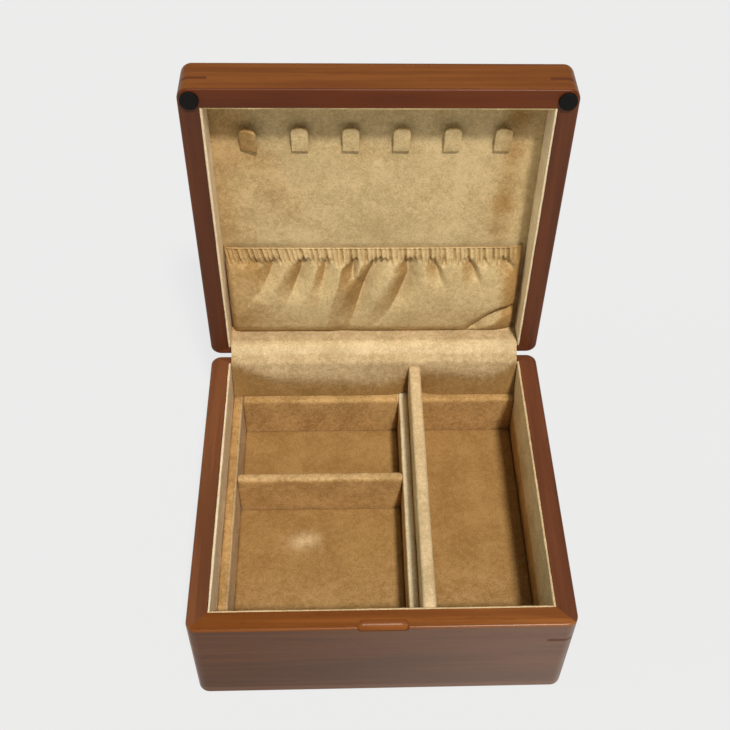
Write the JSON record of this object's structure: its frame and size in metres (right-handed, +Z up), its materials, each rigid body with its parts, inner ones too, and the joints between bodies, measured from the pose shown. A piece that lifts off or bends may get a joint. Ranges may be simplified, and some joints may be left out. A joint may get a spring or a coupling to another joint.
{
  "type": "jewelry chest",
  "caption": "Lidded wooden jewelry chest with mitred walls, suede-lined compartments, a finger notch, and a hinged lid with chain hooks and a gathered pocket, shown open.",
  "frame": {"origin": "centre of the base's underside, on the surface the chest stands on", "axes": "+Z up, +Y to the hinged back, +X to the right as seen from the front"},
  "size_m": [0.2, 0.2177, 0.259],
  "materials": {
    "lacquered_wood": "orange-brown wood, satin lacquer",
    "key_wood": "darker wood, satin lacquer",
    "suede": "beige suede-like cloth, matt",
    "elastic": "woven elastic, matt",
    "rubber": "black rubber, satin",
    "hinge_metal": "plain brass",
    "screw_metal": "plain steel"
  },
  "bodies": {
    "base": {"base_bottom_board": "lacquered_wood", "base_front_wall": "lacquered_wood", "base_back_wall": "lacquered_wood", "base_left_wall": "lacquered_wood", "base_right_wall": "lacquered_wood", "base_mitre_keys": "key_wood", "base_liner_front": "suede", "base_liner_back": "suede", "base_liner_left": "suede", "base_liner_right": "suede", "main_divider": "suede", "left_frame_front": "suede", "left_frame_back": "suede", "left_frame_left": "suede", "left_frame_right": "suede", "right_frame_front": "suede", "right_frame_back": "suede", "cross_divider": "suede", "floor_pad_left_rear": "suede", "floor_pad_left_front": "suede", "floor_pad_right": "suede", "hinge_base_leaf_left": "hinge_metal", "hinge_base_leaf_right": "hinge_metal", "hinge_pin_left": "hinge_metal", "hinge_pin_right": "hinge_metal", "hinge_base_screws": "screw_metal", "hinge_cover_strip": "suede"},
    "lid": {"lid_top_board": "lacquered_wood", "lid_front_wall": "lacquered_wood", "lid_back_wall": "lacquered_wood", "lid_left_wall": "lacquered_wood", "lid_right_wall": "lacquered_wood", "lid_mitre_keys": "key_wood", "lid_liner_panel": "suede", "lid_liner_front": "suede", "lid_liner_back": "suede", "lid_liner_left": "suede", "lid_liner_right": "suede", "necklace_hook_1": "suede", "necklace_hook_2": "suede", "necklace_hook_3": "suede", "necklace_hook_4": "suede", "necklace_hook_5": "suede", "necklace_hook_6": "suede", "pocket_cloth": "suede", "pocket_elastic": "elastic", "bumper_left": "rubber", "bumper_right": "rubber", "hinge_lid_leaf_left": "hinge_metal", "hinge_lid_leaf_right": "hinge_metal", "hinge_lid_screws": "screw_metal"}
  },
  "joints": [
    {"name": "lid_hinge", "type": "hinge", "parent": "base", "child": "lid", "pos_m": [0, 0.0937, 0.07185], "axis": [1, 0, 0], "range_deg": [0, 91], "deforming": ["hinge_cover_strip"]}
  ]
}
